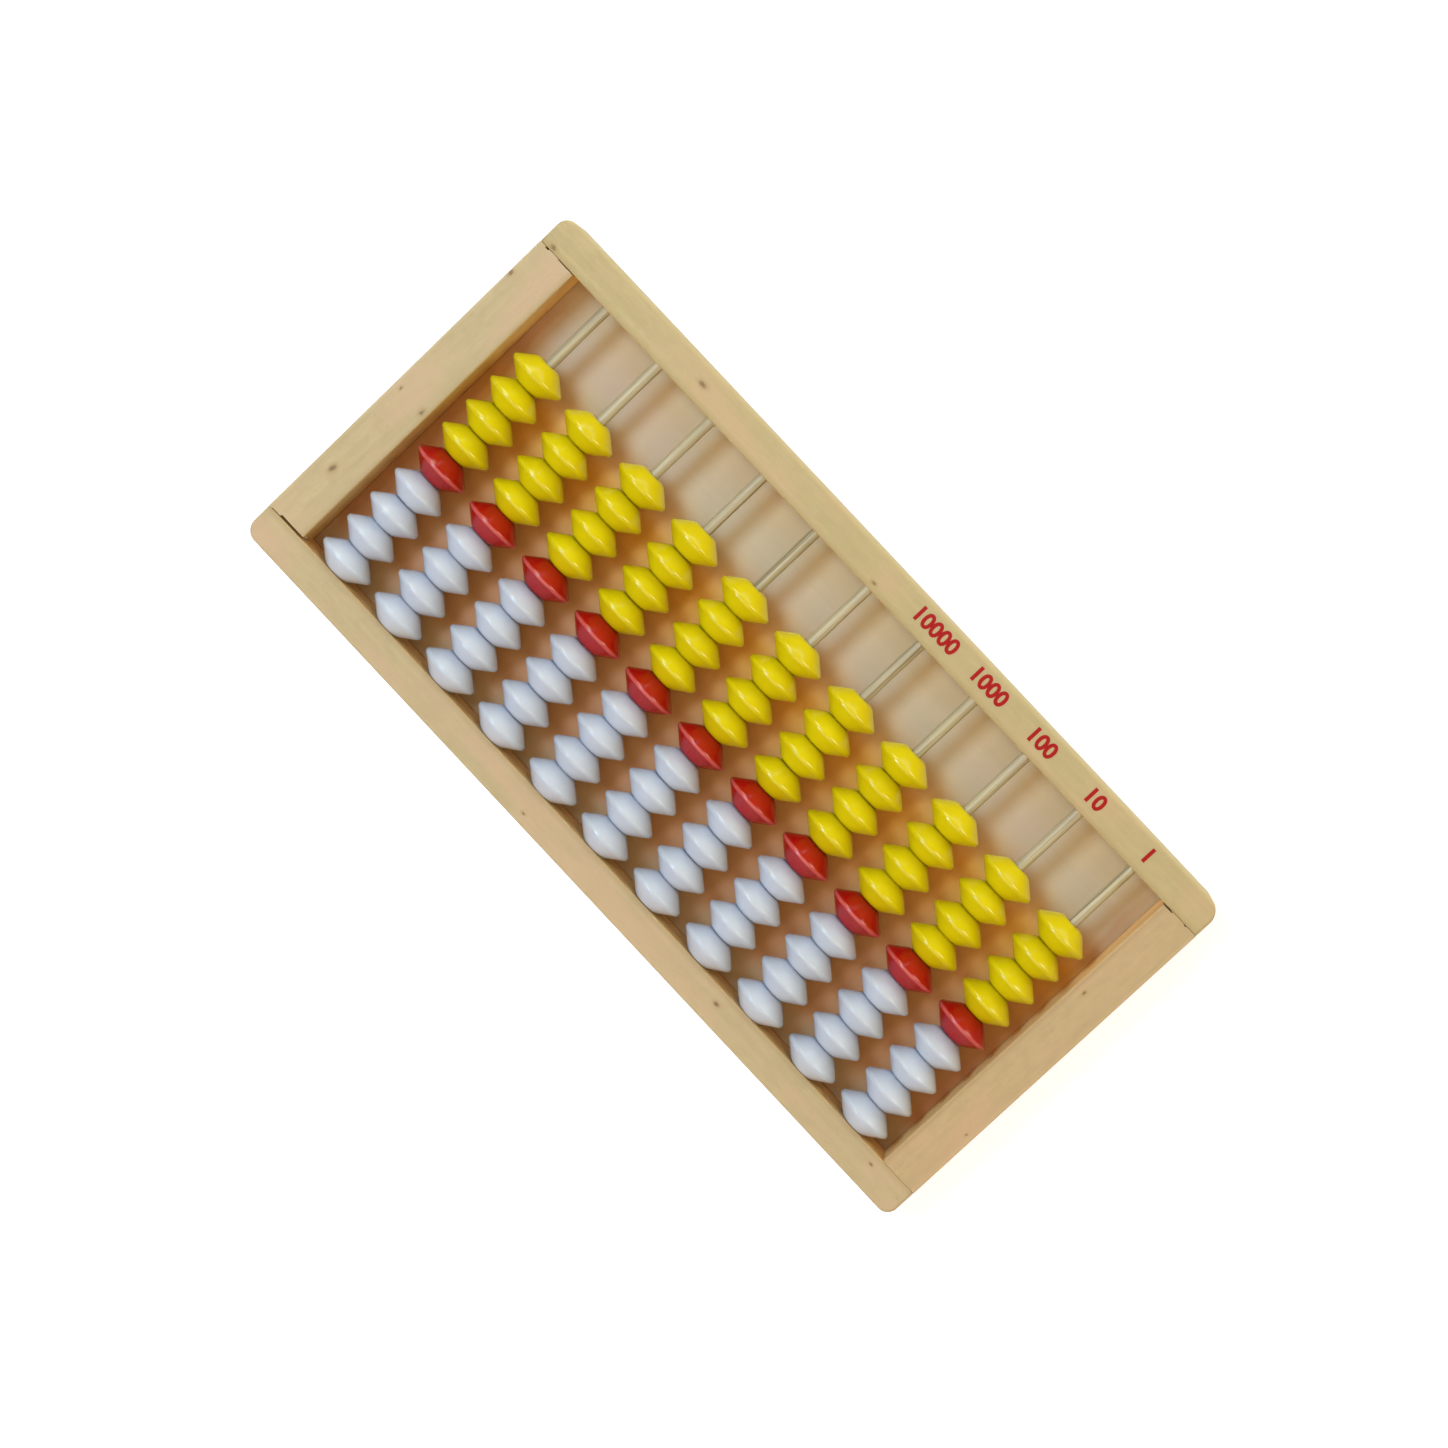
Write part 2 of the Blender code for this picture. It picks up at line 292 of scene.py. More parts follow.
class Graph:
    """A material and short calls that add nodes to it."""

    def __init__(self, name):
        self.material = bpy.data.materials.new(name)
        self.material.use_nodes = True
        self.tree = self.material.node_tree
        self.shader = self.tree.nodes["Principled BSDF"]
        self.coordinates = self.tree.nodes.new("ShaderNodeTexCoord")

    def add(self, kind, **values):
        """Add a node and set some of its properties."""
        node = self.tree.nodes.new(kind)
        for key, value in values.items():
            setattr(node, key, value)
        return node

    def plug(self, socket, value):
        """Join an output to a socket, or set the socket's own value."""
        if isinstance(value, bpy.types.NodeSocket):
            self.tree.links.new(value, socket)
        else:
            socket.default_value = value

    def mapped(self, scale, offset=(0, 0, 0)):
        """Object coordinates, stretched and shifted."""
        mapping = self.add("ShaderNodeMapping")
        self.plug(mapping.inputs["Vector"], self.coordinates.outputs["Object"])
        mapping.inputs["Location"].default_value = offset
        mapping.inputs["Scale"].default_value = scale
        return mapping.outputs["Vector"]

    def noise(self, vector, scale=1.0, detail=3.0, roughness=0.5, distortion=0.0):
        """Noise between 0 and 1, mostly near 0.5."""
        node = self.add("ShaderNodeTexNoise")
        self.plug(node.inputs["Vector"], vector)
        node.inputs["Scale"].default_value = scale
        node.inputs["Detail"].default_value = detail
        node.inputs["Roughness"].default_value = roughness
        node.inputs["Distortion"].default_value = distortion
        return node.outputs["Fac"]

    def spread(self, value, low, high, to_low=0.0, to_high=1.0):
        """Map a range of a value smoothly onto another range."""
        node = self.add("ShaderNodeMapRange", interpolation_type="SMOOTHSTEP")
        self.plug(node.inputs["Value"], value)
        node.inputs["From Min"].default_value = low
        node.inputs["From Max"].default_value = high
        node.inputs["To Min"].default_value = to_low
        node.inputs["To Max"].default_value = to_high
        return node.outputs["Result"]

    def math(self, operation, first, second=0.0):
        """One or two numbers through a Math node."""
        node = self.add("ShaderNodeMath", operation=operation)
        self.plug(node.inputs[0], first)
        self.plug(node.inputs[1], second)
        return node.outputs[0]

    def mix(self, factor, first, second):
        """Blend two colours."""
        node = self.add("ShaderNodeMix", data_type="RGBA")
        self.plug(node.inputs["Factor"], factor)
        self.plug(node.inputs[6], rgba(first))
        self.plug(node.inputs[7], rgba(second))
        return node.outputs[2]

    def bump(self, height, distance, strength, normal=None):
        """A normal bent by a height, on top of another bent normal if one is given."""
        node = self.add("ShaderNodeBump")
        self.plug(node.inputs["Height"], height)
        node.inputs["Distance"].default_value = distance
        node.inputs["Strength"].default_value = strength
        if normal:
            self.plug(node.inputs["Normal"], normal)
        return node.outputs["Normal"]

    def parts(self, vector):
        """The x, y and z of a vector."""
        node = self.add("ShaderNodeSeparateXYZ")
        self.plug(node.inputs[0], vector)
        return node.outputs

    def multiply_add(self, value, factor, addend):
        """value * factor + addend."""
        node = self.add("ShaderNodeMath", operation="MULTIPLY_ADD")
        self.plug(node.inputs[0], value)
        node.inputs[1].default_value = factor
        node.inputs[2].default_value = addend
        return node.outputs[0]

    def vector_math(self, operation, first, second):
        """Two vectors through a Vector Math node."""
        node = self.add("ShaderNodeVectorMath", operation=operation)
        self.plug(node.inputs[0], first)
        self.plug(node.inputs[1], second)
        return node.outputs[0]

    def set(self, socket, value):
        """Set or join an input of the Principled shader."""
        self.plug(self.shader.inputs[socket], value)


def rgba(colour):
    """A colour with its alpha, or a socket as it is."""
    if isinstance(colour, tuple) and len(colour) == 3:
        return (*colour, 1.0)
    return colour


def shade(colour, factor):
    """A darker or lighter version of a colour."""
    return tuple(channel * factor for channel in colour)


def tinted(colour, tint):
    """A colour times another, channel by channel."""
    return tuple(channel * share for channel, share in zip(colour, tint))


# ------------------------------------------------------------------ materials

def wood(name, colour, tray_light, along, seed, half_size, inner, flecks):
    """Bare pale wood with its grain along axis 0 or 1, worn edges and small dark flecks.

    half_size is half the piece's width and height across the grain. inner is the side, -1 or 1
    across the grain, that faces the tray: the colour there is multiplied by the given tint,
    painted warm bounce light and shade. A fleck is (x, y, radius) on the upper face, in the
    piece's own coordinates.
    """
    g = Graph(name)
    across = 1 - along

    def stretched(length, width):
        """Coordinates for marks of about this length along the grain and width across it."""
        scale = [1 / width] * 3
        scale[along] = 1 / length
        return g.mapped(scale, (seed * 3.7, seed * 1.9, seed * 5.3))

    # Grain
    bands = g.noise(stretched(160 * MM, 4.5 * MM), detail=2.0, distortion=0.6)
    mottle = g.noise(stretched(4.5 * MM, 2.2 * MM), detail=3.0, roughness=0.6)
    fibres = g.noise(stretched(22 * MM, 0.45 * MM), detail=4.0, roughness=0.65)
    clouds = g.noise(stretched(30 * MM, 12 * MM), detail=3.0)
    pores = g.noise(stretched(3.5 * MM, 0.28 * MM), detail=2.0)
    base = g.mix(g.spread(bands, 0.35, 0.68), shade(colour, 1.03), shade(colour, 0.95))
    base = g.mix(g.spread(mottle, 0.35, 0.7, 0.0, 0.8), base, shade(colour, 0.91))
    base = g.mix(g.spread(fibres, 0.3, 0.75, 0.0, 0.24), base, shade(colour, 0.75))
    pinkish = tinted(colour, (1.06, 0.96, 1.06))
    base = g.mix(g.spread(clouds, 0.42, 0.7, 0.0, 0.9), base, pinkish)
    base = g.mix(g.spread(pores, 0.66, 0.78, 0.0, 0.35), base, shade(colour, 0.45))

    # Edges: sanded lighter on the outer side, painted shade along the tray's side
    place = g.parts(g.coordinates.outputs["Object"])
    width, z = place[across], place[2]
    side_gap = g.math("SUBTRACT", half_size[0], g.math("ABSOLUTE", width))
    top_gap = g.math("SUBTRACT", half_size[1], g.math("ABSOLUTE", z))
    ragged = g.noise(stretched(6 * MM, 3 * MM))
    ragged = g.multiply_add(ragged, 1.2 * MM, -0.6 * MM)
    from_edge = g.math("ADD", g.math("MAXIMUM", side_gap, top_gap), ragged)
    worn = g.spread(from_edge, 0.4 * MM, 1.4 * MM, 0.5, 0.0)
    on_tray_side = g.spread(g.math("MULTIPLY", width, inner), -1 * MM, 1 * MM)
    worn = g.math("MULTIPLY", worn, g.math("SUBTRACT", 1.0, on_tray_side))
    base = g.mix(worn, base, shade(colour, 1.1))
    tray_edge_shade = g.spread(side_gap, 0.3 * MM, 2.2 * MM, 0.7, 0.0)
    tray_edge_shade = g.math("MULTIPLY", tray_edge_shade, on_tray_side)
    base = g.mix(tray_edge_shade, base, tinted(colour, (0.8, 0.76, 0.7)))

    # The face inside the tray: painted warm bounce light, mixed in most strongly low down
    normal = g.parts(g.add("ShaderNodeNewGeometry").outputs["Normal"])
    facing_tray = g.spread(g.math("MULTIPLY", normal[across], inner), 0.5, 0.98)
    deep_down = g.spread(z, -2 * MM, 9 * MM, 1.0, 0.6)
    painted_tray_light = g.math("MULTIPLY", facing_tray, deep_down)
    base = g.mix(painted_tray_light, base, tinted(colour, tray_light))
    # Painted shade in the bottom corner of the face inside the tray
    corner_shade = g.spread(z, -5.5 * MM, -3 * MM, 0.6, 0.0)
    corner_shade = g.math("MULTIPLY", facing_tray, corner_shade)
    base = g.mix(corner_shade, base, tinted(colour, (0.55, 0.32, 0.12)))

    # End grain: rings cut across, darker than the long faces
    end_on = g.spread(g.math("ABSOLUTE", normal[along]), 0.75, 0.95)
    rings = g.add("ShaderNodeTexWave", wave_type="RINGS", rings_direction="XYZ"[along])
    pith = (11 * MM, 11 * MM, 17 * MM)
    g.plug(rings.inputs["Vector"], g.mapped((1, 1, 1), pith))
    rings.inputs["Scale"].default_value = 105.0
    rings.inputs["Distortion"].default_value = 3.5
    rings.inputs["Detail"].default_value = 3.0
    end_colour = g.mix(rings.outputs["Fac"], shade(colour, 0.82), shade(colour, 0.66))
    base = g.mix(end_on, base, end_colour)

    # Flecks: longer along the grain, each with a brown halo
    squeeze = [1.0, 1.0, 0.3]
    squeeze[along] = 0.6
    for fleck_x, fleck_y, radius in flecks:
        centre = (fleck_x, fleck_y, half_size[1])
        offset = g.vector_math("SUBTRACT", g.coordinates.outputs["Object"], centre)
        distance = g.add("ShaderNodeVectorMath", operation="LENGTH")
        g.plug(distance.inputs[0], g.vector_math("MULTIPLY", offset, squeeze))
        wobble = g.math("MULTIPLY", g.noise(g.mapped((900, 900, 900))), radius * 1.4)
        reach = g.math("ADD", distance.outputs["Value"], wobble)
        halo = g.spread(reach, radius * 1.1, radius * 3.2, 0.5, 0.0)
        base = g.mix(halo, base, tinted(colour, (0.72, 0.62, 0.42)))
        dark_spot = g.spread(reach, radius * 0.9, radius * 2.0, 0.85, 0.0)
        base = g.mix(dark_spot, base, tinted(colour, (0.34, 0.25, 0.2)))

    g.set("Base Color", base)
    g.set("Roughness", g.spread(fibres, 0.2, 0.8, 0.5, 0.68))
    g.set("Specular IOR Level", 0.35)
    undulation = g.bump(g.noise(stretched(30 * MM, 6 * MM)), 0.25 * MM, 0.5)
    relief = g.math("ADD", fibres, g.math("MULTIPLY", pores, 0.5))
    g.set("Normal", g.bump(relief, 0.09 * MM, 0.8, undulation))
    return g.material


def board(name, amber_from, half_size):
    """Smooth thin board with a faint grain along X, darkened to amber where the beads shade it.

    The painted shade reaches from the bottom rail up to y = amber_from, and a little way from the
    end rails. It is pale painted light to the left of each column of beads and full painted shadow
    to its right. half_size is half the opening.
    """
    g = Graph(name)

    # Grain
    grain = g.noise(g.mapped((7, 90, 90)), detail=2.0, distortion=0.5)
    fine = g.noise(g.mapped((40, 1900, 1900)), detail=4.0)
    patches = g.noise(g.mapped((28, 40, 40)), detail=3.0)
    lighter, darker = shade(PANEL_COLOUR, 1.03), shade(PANEL_COLOUR, 0.95)
    base = g.mix(g.spread(grain, 0.3, 0.7), lighter, darker)
    base = g.mix(g.spread(fine, 0.4, 0.8, 0.0, 0.22), base, shade(PANEL_COLOUR, 0.78))
    pinkish = tinted(PANEL_COLOUR, (1.03, 0.96, 1.02))
    base = g.mix(g.spread(patches, 0.4, 0.7), base, pinkish)

    # Painted shadow under and beside the beads, with paler painted light on their lit side. One
    # turn of phase per column tells its left from its right
    wavering = g.math("MULTIPLY", g.noise(g.mapped((60, 60, 60))), 6 * MM)
    x, y, _ = g.parts(g.coordinates.outputs["Object"])
    low_down = g.math("ADD", y, wavering)
    up_board = g.spread(low_down, -20 * MM, amber_from)
    pale = g.mix(up_board, *LIT_AMBER)
    full = g.mix(up_board, *SHADOW_AMBER)
    phase = g.math("ADD", x, wavering)
    phase = g.multiply_add(phase, math.tau / COLUMN_PITCH, -math.tau * 0.38)
    on_right = g.spread(g.math("COSINE", phase), -0.65, 0.55)
    bead_shade_mask = g.spread(low_down, amber_from - 8 * MM, amber_from + 13 * MM, 1.0, 0.0)
    base = g.mix(bead_shade_mask, base, g.mix(on_right, pale, full))

    # Painted shadow of the end rails, stronger on the left, with painted shade as a dark line in
    # the corner
    to_side = g.math("SUBTRACT", half_size[0], g.math("ABSOLUTE", x))
    to_side = g.math("SUBTRACT", to_side, wavering)
    end_rail_shadow = g.spread(to_side, 0.0, 7 * MM, 0.35, 0.0)
    end_rail_shadow = g.math("MULTIPLY", end_rail_shadow, g.spread(x, -50 * MM, 50 * MM, 1.0, 0.3))
    base = g.mix(end_rail_shadow, base, SHADOW_AMBER[0])
    corner_shade = g.spread(to_side, -1 * MM, 1.2 * MM, 0.4, 0.0)
    base = g.mix(corner_shade, base, CORNER_SHADE_COLOUR)

    # Painted shade beside the long rails
    to_rail = g.math("SUBTRACT", half_size[1], g.math("ABSOLUTE", y))
    to_rail = g.math("SUBTRACT", to_rail, wavering)
    long_rail_shade = g.spread(to_rail, 0.0, 12 * MM, 0.6, 0.0)
    base = g.mix(long_rail_shade, base, tinted(PANEL_COLOUR, (0.85, 0.78, 0.6)))

    g.set("Base Color", base)
    g.set("Roughness", g.spread(patches, 0.3, 0.7, 0.45, 0.6))
    g.set("Specular IOR Level", 0.25)
    g.set("Normal", g.bump(fine, 0.05 * MM, 0.6))
    return g.material


def bamboo(name, colour, seed):
    """Split bamboo: straight hard fibres along Y, some of them dark."""
    g = Graph(name)
    offset = (seed * 0.37, seed * 0.83, seed * 0.11)
    fibres = g.noise(g.mapped((3200, 14, 3200), offset), detail=3.0, roughness=0.6)
    streaks = g.noise(g.mapped((1300, 9, 1300), offset), detail=1.0)
    bloom = g.noise(g.mapped((300, 60, 300), offset), detail=2.0)
    base = g.mix(g.spread(fibres, 0.3, 0.7), shade(colour, 1.12), shade(colour, 0.82))
    yellowish = tinted(colour, (1.0, 1.02, 0.8))
    base = g.mix(g.spread(bloom, 0.4, 0.7, 0.0, 0.5), base, yellowish)
    base = g.mix(g.spread(streaks, 0.6, 0.7, 0.0, 0.75), base, DARK_FIBRE)
    g.set("Base Color", base)
    g.set("Roughness", g.spread(fibres, 0.3, 0.7, 0.36, 0.55))
    g.set("Specular IOR Level", 0.45)
    g.set("Normal", g.bump(fibres, 0.12 * MM, 0.8))
    return g.material


def plastic(name, colour, dark, light, rim, scatter=0.0):
    """Moulded glossy plastic: flow marks, fine scratches, grime near the hubs, painted highlight
    and shade on the rim.
    """
    g = Graph(name)
    offset_by_piece = g.add("ShaderNodeObjectInfo").outputs["Random"]
    vector = g.vector_math("ADD", g.coordinates.outputs["Object"], offset_by_piece)

    # Flow marks, and no two pieces quite alike
    flow = g.noise(vector, scale=150.0, detail=2.0, distortion=0.8)
    base = g.mix(g.spread(flow, 0.35, 0.68, 0.0, 0.6), light, colour)
    base = g.mix(g.spread(offset_by_piece, 0.0, 1.0, 0.0, 0.16), base, dark)

    # Grime near the hubs
    x, y, z = g.parts(g.coordinates.outputs["Object"])
    radius = g.math("SQRT", g.math("ADD", g.math("POWER", x, 2.0), g.math("POWER", z, 2.0)))
    near_hub = g.spread(radius, 3.8 * MM, 4.8 * MM, 1.0, 0.0)
    speckle = g.noise(vector, scale=2600.0, detail=2.0)
    grime = g.math("MULTIPLY", near_hub, g.spread(speckle, 0.3, 0.7, 0.2, 0.6))
    base = g.mix(g.math("MULTIPLY", grime, 0.3), base, dark)

    # Painted highlight and shade on the rim: pinkish on the red beads, darker on the white and
    # yellow ones
    off_rim = g.math("ADD", g.math("ABSOLUTE", y), g.math("MULTIPLY", flow, 0.2 * MM))
    base = g.mix(g.spread(off_rim, 0.3 * MM, 0.8 * MM, 0.9, 0.0), base, rim)
    g.set("Base Color", base)

    # Gloss, dulled by smudges, grime and scratches
    smudges = g.noise(vector, scale=420.0, detail=3.0)
    polish = g.spread(smudges, 0.35, 0.7, 0.08, 0.16)
    scratches = g.noise(g.vector_math("MULTIPLY", vector, (260, 5200, 700)), detail=1.0)
    scratches = g.spread(scratches, 0.62, 0.72)
    dull = g.math("ADD", g.math("MULTIPLY", near_hub, 0.12), g.math("MULTIPLY", scratches, 0.08))
    g.set("Roughness", g.math("ADD", polish, dull))
    g.set("IOR", 1.52)
    if scatter:
        g.set("Subsurface Weight", scatter)
        g.set("Subsurface Radius", (1.0, 0.9, 0.8))
        g.set("Subsurface Scale", 1.6 * MM)
    ripple = g.bump(g.noise(vector, scale=210.0, detail=1.0), 0.04 * MM, 0.5)
    g.set("Normal", g.bump(speckle, 0.008 * MM, 0.4, ripple))
    return g.material


def ink(name):
    """Red printing ink, thinner and paler where the wood's grain shows through."""
    g = Graph(name)
    thin = g.noise(g.mapped((900, 2600, 900)), detail=3.0)
    colour = g.mix(g.spread(thin, 0.55, 0.75, 0.0, 0.6), INK_COLOUR, THIN_INK_COLOUR)
    g.set("Base Color", colour)
    g.set("Roughness", g.spread(thin, 0.3, 0.7, 0.4, 0.6))
    g.set("Specular IOR Level", 0.15)
    g.set("Normal", g.bump(thin, 0.03 * MM, 0.6))
    return g.material


# --------------------------------------------------------------------- frame

TOP_LOW, TOP_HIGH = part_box("top_rail")
BOTTOM_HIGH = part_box("bottom_rail")[1]
PANEL_LOW, PANEL_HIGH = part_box("back_panel")
RAIL_TOP = TOP_HIGH[2]
INNER_DEPTH = TOP_LOW[1] - BOTTOM_HIGH[1]
INNER_LENGTH = 2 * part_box("right_end_rail")[0][0]
COLUMN_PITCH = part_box("rod_02")[0][0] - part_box("rod_01")[0][0]


def rod_axis(index):
    """Centre line of a rod: its x, its height and its radius."""
    low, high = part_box(f"rod_{index + 1:02d}")
    return (low[0] + high[0]) / 2, (low[2] + high[2]) / 2, (high[0] - low[0]) / 2


def blank(name, bm, centre, edge_share):
    """Turn a bmesh into a piece of wood, its sharp edges rounded by a share of the edge radius.

    edge_share is called with each sharp edge and gives the share, 0 for an edge that stays sharp.
    """
    weights = bm.edges.layers.float.new("bevel_weight_edge")
    for edge in bm.edges:
        if edge.calc_face_angle() > ROUNDED_ABOVE:
            edge[weights] = edge_share(edge)
    mesh = bpy.data.meshes.new(name)
    bm.to_mesh(mesh)
    bm.free()
    obj = link(name, mesh, centre)
    bevel = obj.modifiers.new("edges", "BEVEL")
    bevel.width = EDGE_RADIUS
    bevel.segments = EDGE_SEGMENTS
    bevel.limit_method = "WEIGHT"
    applied(obj)
    return obj


def along_axis(edge, axis):
    """Whether an edge runs along an axis."""
    run = edge.verts[0].co - edge.verts[1].co
    return abs(run[axis]) > 0.99 * run.length


def cut(obj, bm, operation="DIFFERENCE"):
    """Take the solids in a bmesh out of an object, or join them to it."""
    mesh = bpy.data.meshes.new("cutter")
    bm.to_mesh(mesh)
    bm.free()
    cutter = link("cutter", mesh, obj.location)
    boolean = obj.modifiers.new("cuts", "BOOLEAN")
    boolean.object = cutter
    boolean.operation = operation
    boolean.solver = "EXACT"
    applied(obj)
    bpy.data.objects.remove(cutter, do_unlink=True)


def finish_wood(obj, material, node):
    """Shade a wooden piece and put it in place of its CAD node."""
    obj.data.materials.clear()
    obj.data.materials.append(material)
    obj.data.shade_smooth()
    obj.data.set_sharp_from_angle(angle=SHARP_ABOVE)
    weighted = obj.modifiers.new("normals", "WEIGHTED_NORMAL")
    weighted.keep_sharp = True
    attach(obj, "frame")
    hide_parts(node)


def socket_cylinder(bm, radius, length, centre):
    """Add a blind socket's cylinder, along Y."""
    turn = Matrix.Rotation(math.radians(90), 4, "X")
    bmesh.ops.create_cone(
        bm,
        cap_ends=True,
        segments=SOCKET_SEGMENTS,
        radius1=radius,
        radius2=radius,
        depth=length,
        matrix=Matrix.Translation(centre) @ turn,
    )


def make_long_rail(node, side, colour, corners, flecks, seed):
    """A long rail: rounded outer corners, rod sockets, mortises and the panel's groove."""
    low, high = (Vector(corner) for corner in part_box(node))
    centre = (low + high) / 2
    half = (high - low) / 2
    bm = bmesh.new()
    add_box(bm, -half, half)
    for end, radius in zip((-1, 1), corners):
        corner = [
            edge for edge in bm.edges
            if along_axis(edge, 2)
            and all(vert.co.y * side > 0 and vert.co.x * end > 0 for vert in edge.verts)
        ]
        bmesh.ops.bevel(
            bm,
            geom=corner,
            offset=radius,
            segments=CORNER_SEGMENTS,
            profile=0.5,
            affect="EDGES",
        )

    def edge_share(edge):
        inner = all(abs(vert.co.y + side * half.y) < 0.01 * MM for vert in edge.verts)
        return INNER_EDGE_SHARE if inner else 1.0

    rail = blank(node + "_wood", bm, centre, edge_share)

    cuts = bmesh.new()
    inner_face = -side * half.y
    socket_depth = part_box("rod_01")[1][1] - INNER_DEPTH / 2 + SOCKET_END_GAP
    for index in range(COLUMNS):
        x, z, radius = rod_axis(index)
        mouth = (x - centre.x, inner_face, z - centre.z)
        socket_cylinder(cuts, radius + SOCKET_PLAY, 2 * socket_depth, mouth)
    for end_rail in ("left_end_rail", "right_end_rail"):
        end_low, end_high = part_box(end_rail)
        reach = end_high[1] - INNER_DEPTH / 2 + TIGHT_JOINT
        x = (end_low[0] + end_high[0]) / 2 - centre.x
        add_box(
            cuts,
            (x - MORTISE_HALF, inner_face - reach, -MORTISE_HALF),
            (x + MORTISE_HALF, inner_face + reach, MORTISE_HALF),
        )
    groove = PANEL_HIGH[1] - INNER_DEPTH / 2 + TIGHT_JOINT
    groove_low = Vector(PANEL_LOW) - centre - Vector((TIGHT_JOINT,) * 3)
    groove_high = Vector(PANEL_HIGH) - centre + Vector((TIGHT_JOINT,) * 3)
    groove_low.y, groove_high.y = inner_face - groove, inner_face + groove
    add_box(cuts, groove_low, groove_high)
    cut(rail, cuts)
    material = wood(node + "_wood", colour, LONG_TRAY_LIGHT, 0, seed, (half.y, half.z), -side, flecks)
    finish_wood(rail, material, node)


def make_end_rail(node, side, colour, tray_light, cracks, flecks, seed):
    """An end rail with its tenons, the panel's groove and its open joints."""
    low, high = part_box(node)
    centre = Vector(((low[0] + high[0]) / 2, 0, RAIL_TOP / 2))
    half = Vector(((high[0] - low[0]) / 2, INNER_DEPTH / 2 - TIGHT_JOINT, RAIL_TOP / 2))
    bm = bmesh.new()
    add_box(bm, -half, half)

    def edge_share(edge):
        return END_RAIL_EDGE_SHARE if along_axis(edge, 1) else 0.0

    rail = blank(node + "_wood", bm, centre, edge_share)

    bar = bmesh.new()
    reach = high[1] - TIGHT_JOINT
    add_box(bar, (-TENON_HALF, -reach, -TENON_HALF), (TENON_HALF, reach, TENON_HALF))
    cut(rail, bar, "UNION")

    groove = bmesh.new()
    depth = PANEL_HIGH[0] - INNER_LENGTH / 2 + TIGHT_JOINT
    inner_face = -side * half.x
    add_box(
        groove,
        (inner_face - depth, -half.y - OVERCUT, PANEL_LOW[2] - TIGHT_JOINT - centre.z),
        (inner_face + depth, half.y + OVERCUT, PANEL_HIGH[2] + TIGHT_JOINT - centre.z),
    )
    cut(rail, groove)
    for end, start, stop, opening in cracks:
        gap = bmesh.new()
        near, far = sorted((end * (half.y - opening), end * (half.y + OVERCUT)))
        add_box(gap, (start, near, half.z - CRACK_DEPTH), (stop, far, half.z + OVERCUT))
        cut(rail, gap)
    material = wood(node + "_wood", colour, tray_light, 1, seed, (half.x, half.z), -side, flecks)
    finish_wood(rail, material, node)


def make_frame():
    """The four rails, and a new material on the back panel."""
    make_long_rail("top_rail", 1, YELLOWER_RAIL_COLOUR, TOP_CORNERS, TOP_FLECKS, 1)
    make_long_rail("bottom_rail", -1, RAIL_COLOUR, BOTTOM_CORNERS, BOTTOM_FLECKS, 2)
    make_end_rail("left_end_rail", -1, RAIL_COLOUR, LEFT_TRAY_LIGHT, LEFT_CRACKS, LEFT_FLECKS, 3)
    make_end_rail("right_end_rail", 1, WARM_RAIL_COLOUR, RIGHT_TRAY_LIGHT, RIGHT_CRACKS, RIGHT_FLECKS, 4)
    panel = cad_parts["back_panel"]
    amber_from = sum(corner[1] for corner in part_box("column_01_top_bead")) / 2
    panel.data.materials.clear()
    panel.data.materials.append(
        board("panel_board", amber_from, (INNER_LENGTH / 2, INNER_DEPTH / 2))
    )


def make_rods():
    """Eleven bamboo rods, none quite round or straight."""
    for index in range(COLUMNS):
        name = f"rod_{index + 1:02d}"
        low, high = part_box(name)
        x, z, radius = rod_axis(index)
        girth = radius * rng.uniform(*ROD_GIRTH)
        oval = rng.uniform(*ROD_OVALNESS)
        bow = rng.uniform(-1, 1) * LARGEST_BOW
        phase = rng.uniform(0, math.tau)
        length = high[1] - low[1]
        bm = bmesh.new()
        bmesh.ops.create_cone(
            bm,
            cap_ends=True,
            segments=ROD_SEGMENTS,
            radius1=girth,
            radius2=girth,
            depth=length,
            matrix=Matrix.Rotation(math.radians(90), 4, "X"),
        )
        sides = [edge for edge in bm.edges if along_axis(edge, 1)]
        bmesh.ops.subdivide_edges(bm, edges=sides, cuts=ROD_RINGS, use_grid_fill=True)
        # Swelling along the rod, one side flattened, and a slight bow
        for vert in bm.verts:
            share = vert.co.y / length
            swell = 1 + 0.02 * math.sin(share * 19 + phase)
            swell += 0.012 * math.sin(share * 47 + 2 * phase)
            angle = math.atan2(vert.co.z, vert.co.x)
            flat = 1 - 0.05 * max(0.0, math.cos(angle - phase)) ** 6
            vert.co.x *= swell * flat
            vert.co.z *= swell * flat * oval
            vert.co.x += bow * math.cos(share * math.pi)
        mesh = bpy.data.meshes.new(name + "_bamboo")
        bm.to_mesh(mesh)
        bm.free()
        mesh.shade_smooth()
        mesh.set_sharp_from_angle(angle=ROD_SHARP_ABOVE)
        colour = shade(BAMBOO_COLOUR, rng.uniform(*ROD_TONE))
        mesh.materials.append(bamboo(name + "_bamboo", colour, index + 1))
        rod = link(name + "_bamboo", mesh, (x, (low[1] + high[1]) / 2, z))
        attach(rod, "frame")
        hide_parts(name)


# --------------------------------------------------------------------- beads

def bead_outline(radius, half_length):
    """Closed outline of a bead in (radius, height): straight flanks, a rounded rim, two hubs."""
    centre = radius - RIM_ROUNDING
    reach = math.hypot(half_length, HUB_RADIUS - centre)
    flank_turn = math.atan2(half_length, HUB_RADIUS - centre) - math.acos(RIM_ROUNDING / reach)
    tip = centre + RIM_ROUNDING / math.cos(flank_turn)
    points = (
        (BORE_RADIUS, -half_length),
        (HUB_RADIUS, -half_length),
        (tip, 0),
        (HUB_RADIUS, half_length),
        (BORE_RADIUS, half_length),
    )
    radii = (BORE_ROUNDING, HUB_ROUNDING, RIM_ROUNDING, HUB_ROUNDING, BORE_ROUNDING)
    return fillet(points, radii, FILLET_STEPS)


